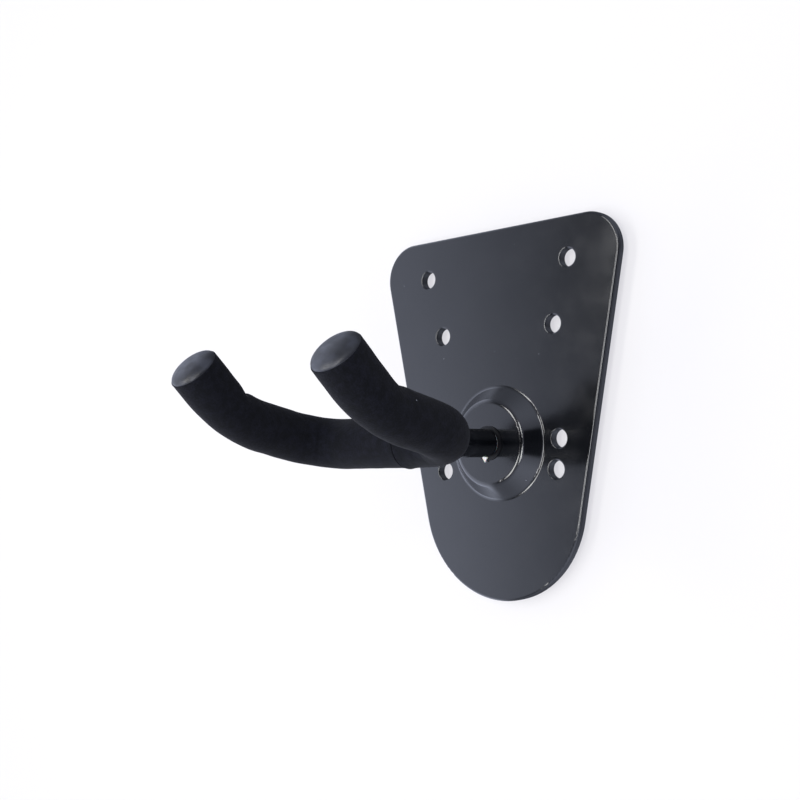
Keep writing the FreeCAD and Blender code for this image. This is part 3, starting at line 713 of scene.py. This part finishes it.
class HANGER_OT_stage(bpy.types.Operator):
    """Camera, pale backdrop and soft studio light"""

    bl_idname = "hanger.stage"
    bl_label = "Stage"

    def execute(self, context):
        stage = context.scene.hanger_stage
        self.camera(context, stage)
        self.backdrop(stage)
        self.room(context, stage)
        self.lights(stage)
        context.scene.view_settings.view_transform = "Standard"
        return {"FINISHED"}

    def camera(self, context, stage):
        turn = (
            Matrix.Rotation(stage.azimuth, 4, "Z")
            @ Matrix.Rotation(math.pi / 2 - stage.elevation, 4, "X")
            @ Matrix.Rotation(stage.roll, 4, "Z")
        )
        place = Vector(stage.aim) + turn @ UP * stage.distance
        bpy.ops.object.camera_add(location=place, rotation=turn.to_euler())
        camera = context.object
        camera.data.sensor_width = 36
        camera.data.lens = stage.lens
        camera.data.clip_start = 0.01
        camera.data.clip_end = 20
        context.scene.camera = camera

    def backdrop(self, stage):
        """Wall behind the plate that runs in a cove into a floor far below."""
        cove = new_primitive(
            "plane",
            "backdrop",
            size=1,
            location=(0, WALL_GAP, 0),
            rotation=(math.pi / 2, 0, 0),
        )
        edit_mode()
        bpy.ops.mesh.select_all(action="DESELECT")
        object_mode()
        for vertex in cove.data.vertices:
            vertex.select = vertex.co.z < 0
            vertex.co.x *= WALL_WIDE
            vertex.co.z = -WALL_BELOW if vertex.select else WALL_TALL - WALL_BELOW
        edit_mode()
        bpy.ops.mesh.extrude_region_move(TRANSFORM_OT_translate={"value": (0, -WALL_DEEP, 0)})
        object_mode()
        finish_modifier(
            cove,
            "BEVEL",
            width=COVE_RADIUS,
            segments=COVE_STEPS,
            limit_method="ANGLE",
            angle_limit=1.0,
        )
        smooth(cove, 60)
        clothe(cove, self.wall_paint(stage))
        cove.visible_shadow = False
        cove.visible_glossy = False

    def wall_paint(self, stage):
        """Flat white paint on a screen that is lit from behind too: even and dull. Its far side is
        clear, so that the hanger can be looked at from behind the wall."""
        material, tree, place = new_material("flat_wall_paint")
        tone = clouds(tree, place, WALL_PATCHES, 0.2, 0.8, 0.0, 0.12, detail=2.0)
        tints = {0: tone, 6: solid(stage.wall), 7: solid(stage.wall_shade)}
        paint = add(
            tree,
            "BsdfPrincipled",
            {
                "Base Color": add(tree, "Mix", tints, **COLOURS).outputs[2],
                "Emission Color": solid(stage.backdrop),
                "Emission Strength": stage.glow,
                "Roughness": 0.9,
            },
        )
        behind = add(tree, "NewGeometry").outputs["Backfacing"]
        sides = {0: behind, 1: paint, 2: add(tree, "BsdfTransparent")}
        add(tree, "OutputMaterial", {"Surface": add(tree, "MixShader", sides)})
        return material

    def room(self, context, stage):
        """Pale room: brightest far to the left, dim straight ahead of the plate, and bright again to
        the right, where a dark doorway stands. Black gloss shows it as soft gradients."""
        world = bpy.data.worlds.new("studio")
        context.scene.world = world
        world.use_nodes = True
        tree = world.node_tree
        tree.nodes.clear()
        direction = add(tree, "TexCoord").outputs["Generated"]
        parts = add(tree, "SeparateXYZ", {"Vector": direction}).outputs
        to_door = add(tree, "VectorMath", {0: direction, 1: DOORWAY}, operation="DOT_PRODUCT")
        measures = {
            "X": parts["X"],
            "Y": parts["Y"],
            "Z": parts["Z"],
            "steepness": add(tree, "Math", {0: parts["Z"]}, operation="ABSOLUTE"),
            "doorway": to_door.outputs["Value"],
        }
        level = None
        for operation, rows in (("ADD", ROOM_LAMPS), ("MULTIPLY", ROOM_SHADES)):
            for measure, *numbers in rows:
                sockets = dict(enumerate((measures[measure], *numbers)))
                step = add(tree, "MapRange", sockets, **SMOOTH)
                both = {0: level, 1: step}
                level = add(tree, "Math", both, operation=operation) if level else step
        lights = {"Color": solid(stage.studio), "Strength": level}
        plain = {"Color": solid(stage.backdrop), "Strength": 1.0}
        shown = {
            0: add(tree, "LightPath").outputs["Is Camera Ray"],
            1: add(tree, "Background", lights),
            2: add(tree, "Background", plain),
        }
        add(tree, "OutputWorld", {"Surface": add(tree, "MixShader", shown)})

    def lights(self, stage):
        """Large soft light to the left of the hanger and a little above it, and two tall narrow ones
        in front, which draw the bright lines along the dome's and the plate's rounded edges."""
        key = self.area_light("key_light", KEY_PLACE, stage.key_power, KEY_SIZE)
        key.visible_glossy = False
        for side, place in STRIP_PLACES.items():
            self.area_light(f"strip_light_{side}", place, stage.strip_power, STRIP_SIZE)

    def area_light(self, name, place, power, size):
        """Rectangular light that faces the hanger and isn't seen itself."""
        facing = (-Vector(place)).to_track_quat("-Z", "Y")
        bpy.ops.object.light_add(type="AREA", location=place, rotation=facing.to_euler())
        light = bpy.context.object
        light.name = name
        light.data.shape = "RECTANGLE"
        light.data.size, light.data.size_y = size
        light.data.energy = power
        light.visible_camera = False
        return light


# Pieces.


class HANGER_OT_wall_plate(bpy.types.Operator):
    """Powder coat on the pressed plate and on the stem"""

    bl_idname = "hanger.wall_plate"
    bl_label = "Wall plate"

    def execute(self, context):
        coat = powder_coat(context.scene.hanger_finish)
        clothe_nodes(["wall_plate", "stem"], coat)
        return {"FINISHED"}


class HANGER_OT_stem_weld(bpy.types.Operator):
    """Rippled weld bead between the stem and the crossbar, under the stem's powder coat"""

    bl_idname = "hanger.stem_weld"
    bl_label = "Stem weld"

    GRAIN = 0.22 * MM
    RIPPLES = 22
    RIPPLE_LEAN = 0.5 * MM
    CLEAR_OF_STEM = 0.25 * MM

    def execute(self, context):
        sizes = context.scene.hanger_sizes
        bead = copy_of("stem_weld", "stem_weld_bead")
        finish_modifier(bead, "REMESH", mode="VOXEL", voxel_size=self.GRAIN)
        finish_modifier(bead, "SMOOTH", factor=0.6, iterations=6)
        for vertex in bead.data.vertices:
            out = Vector((vertex.co.x, 0, vertex.co.z - SWIVEL_HEIGHT))
            if out.length > STEM_HIGH.x + self.CLEAR_OF_STEM:
                round_stem = self.RIPPLES * math.atan2(out.z, out.x)
                wave = math.sin(round_stem + vertex.co.y / self.RIPPLE_LEAN)
                vertex.co += out.normalized() * wave * sizes.ripple
        outward(bead)
        smooth(bead, 180)
        clothe(bead, frame["nodes"]["stem"].data.materials[0])
        stand_in(bead, "stem_weld")
        return {"FINISHED"}


class HANGER_OT_pivot_bush(bpy.types.Operator):
    """Black nylon bush that the stem turns in, and the undyed washers on both sides of it"""

    bl_idname = "hanger.pivot_bush"
    bl_label = "Pivot bush"

    def execute(self, context):
        finish = context.scene.hanger_finish
        clothe_nodes(["pivot_bush"], dyed_nylon(finish))
        clothe_nodes(["tab_washer", "thrust_washer"], undyed_nylon(finish))
        return {"FINISHED"}


class HANGER_OT_fasteners(bpy.types.Operator):
    """Zinc plating on the nut, the spring washer and the shim behind the plate"""

    bl_idname = "hanger.fasteners"
    bl_label = "Nut and washers"

    def execute(self, context):
        zinc = zinc_plate(context.scene.hanger_finish)
        clothe_nodes(["lock_nut", "spring_washer", "backing_shim"], zinc)
        return {"FINISHED"}


class HANGER_OT_yoke_rod(bpy.types.Operator):
    """Bare steel of the bent rod inside the foam"""

    bl_idname = "hanger.yoke_rod"
    bl_label = "Yoke rod"

    def execute(self, context):
        clothe_nodes(["yoke_rod"], drawn_steel(context.scene.hanger_finish))
        return {"FINISHED"}


class HANGER_OT_foam_sleeves(bpy.types.Operator):
    """Two foam sleeves that meet on the crossbar"""

    bl_idname = "hanger.foam_sleeves"
    bl_label = "Foam sleeves"

    def execute(self, context):
        sizes = context.scene.hanger_sizes
        foam = closed_cell_foam(context.scene.hanger_finish)
        left = foam_sleeve("foam_left", -1, -LEFT_FOAM_END, sizes)
        punch_for_stem(left, sizes)
        right = foam_sleeve("foam_right", 1, RIGHT_FOAM_LOW.x, sizes)
        for sleeve, node in ((left, "foam_sleeve_left"), (right, "foam_sleeve_right")):
            smooth(sleeve, 50)
            clothe(sleeve, foam)
            stand_in(sleeve, node)
        return {"FINISHED"}


class HANGER_OT_end_caps(bpy.types.Operator):
    """Domed rubber caps on the arms' tips"""

    bl_idname = "hanger.end_caps"
    bl_label = "End caps"

    DOME_STEPS = 28
    SOCKET_FLOOR = -0.5 * MM

    def execute(self, context):
        sizes = context.scene.hanger_sizes
        rubber = moulded_rubber(context.scene.hanger_finish)
        place = yoke_place(sizes)
        end = rod_lengths(sizes)[-1]
        for word, side in (("left", -1), ("right", 1)):
            cap = turned(f"rubber_cap_{word}", self.profile(sizes))
            tip = on_rod(end, 0, 0, sizes)
            onward = tip - on_rod(end - MM, 0, 0, sizes)
            tip.x *= side
            stand = onward.to_track_quat("Z", "Y").to_matrix().to_4x4()
            cap.data.transform(place @ Matrix.Translation(tip) @ stand)
            smooth(cap, 50)
            clothe(cap, rubber)
            stand_in(cap, f"end_cap_{word}")
        return {"FINISHED"}

    def profile(self, sizes):
        """Half section from the middle of the dome, over the rim and round the skirt."""
        rod = sizes.rod_diameter / 2
        rim = foam_radius(sizes) - sizes.cap_inset
        skirt = rod + sizes.cap_skirt_wall
        turns = [step / self.DOME_STEPS * math.pi / 2 for step in range(self.DOME_STEPS + 1)]
        corners = [
            *((rim * math.sin(turn), sizes.cap_height * math.cos(turn)) for turn in turns),
            (skirt, 0),
            (skirt, -sizes.cap_skirt),
            (rod, -sizes.cap_skirt),
            (rod, self.SOCKET_FLOOR),
            (0, self.SOCKET_FLOOR),
        ]
        return [Vector((out, 0, up)) for out, up in corners]


PIECES = [
    HANGER_OT_stage,
    HANGER_OT_wall_plate,
    HANGER_OT_stem_weld,
    HANGER_OT_pivot_bush,
    HANGER_OT_fasteners,
    HANGER_OT_yoke_rod,
    HANGER_OT_foam_sleeves,
    HANGER_OT_end_caps,
]


class HANGER_PT_pieces(bpy.types.Panel):
    """Lists the hanger's pieces"""

    bl_idname = "HANGER_PT_pieces"
    bl_label = "Wall Guitar Hanger"
    bl_space_type = "VIEW_3D"
    bl_region_type = "UI"
    bl_category = "Hanger"

    def draw(self, context):
        for operator in PIECES:
            self.layout.operator(operator.bl_idname)


GROUPS = [
    ("hanger_sizes", HangerSizes),
    ("hanger_finish", HangerFinish),
    ("hanger_stage", HangerStage),
]


def register():
    for name, group in GROUPS:
        bpy.utils.register_class(group)
        setattr(bpy.types.Scene, name, PointerProperty(type=group))
    for piece in (*PIECES, HANGER_PT_pieces):
        bpy.utils.register_class(piece)


def unregister():
    for piece in reversed((*PIECES, HANGER_PT_pieces)):
        bpy.utils.unregister_class(piece)
    for name, group in reversed(GROUPS):
        delattr(bpy.types.Scene, name)
        bpy.utils.unregister_class(group)


def run(operator):
    """Calls an operator by its name, as a button in the panel does."""
    area, name = operator.bl_idname.split(".")
    getattr(getattr(bpy.ops, area), name)()


def main():
    register()
    for operator in PIECES:
        run(operator)


if __name__ == "__main__":
    main()
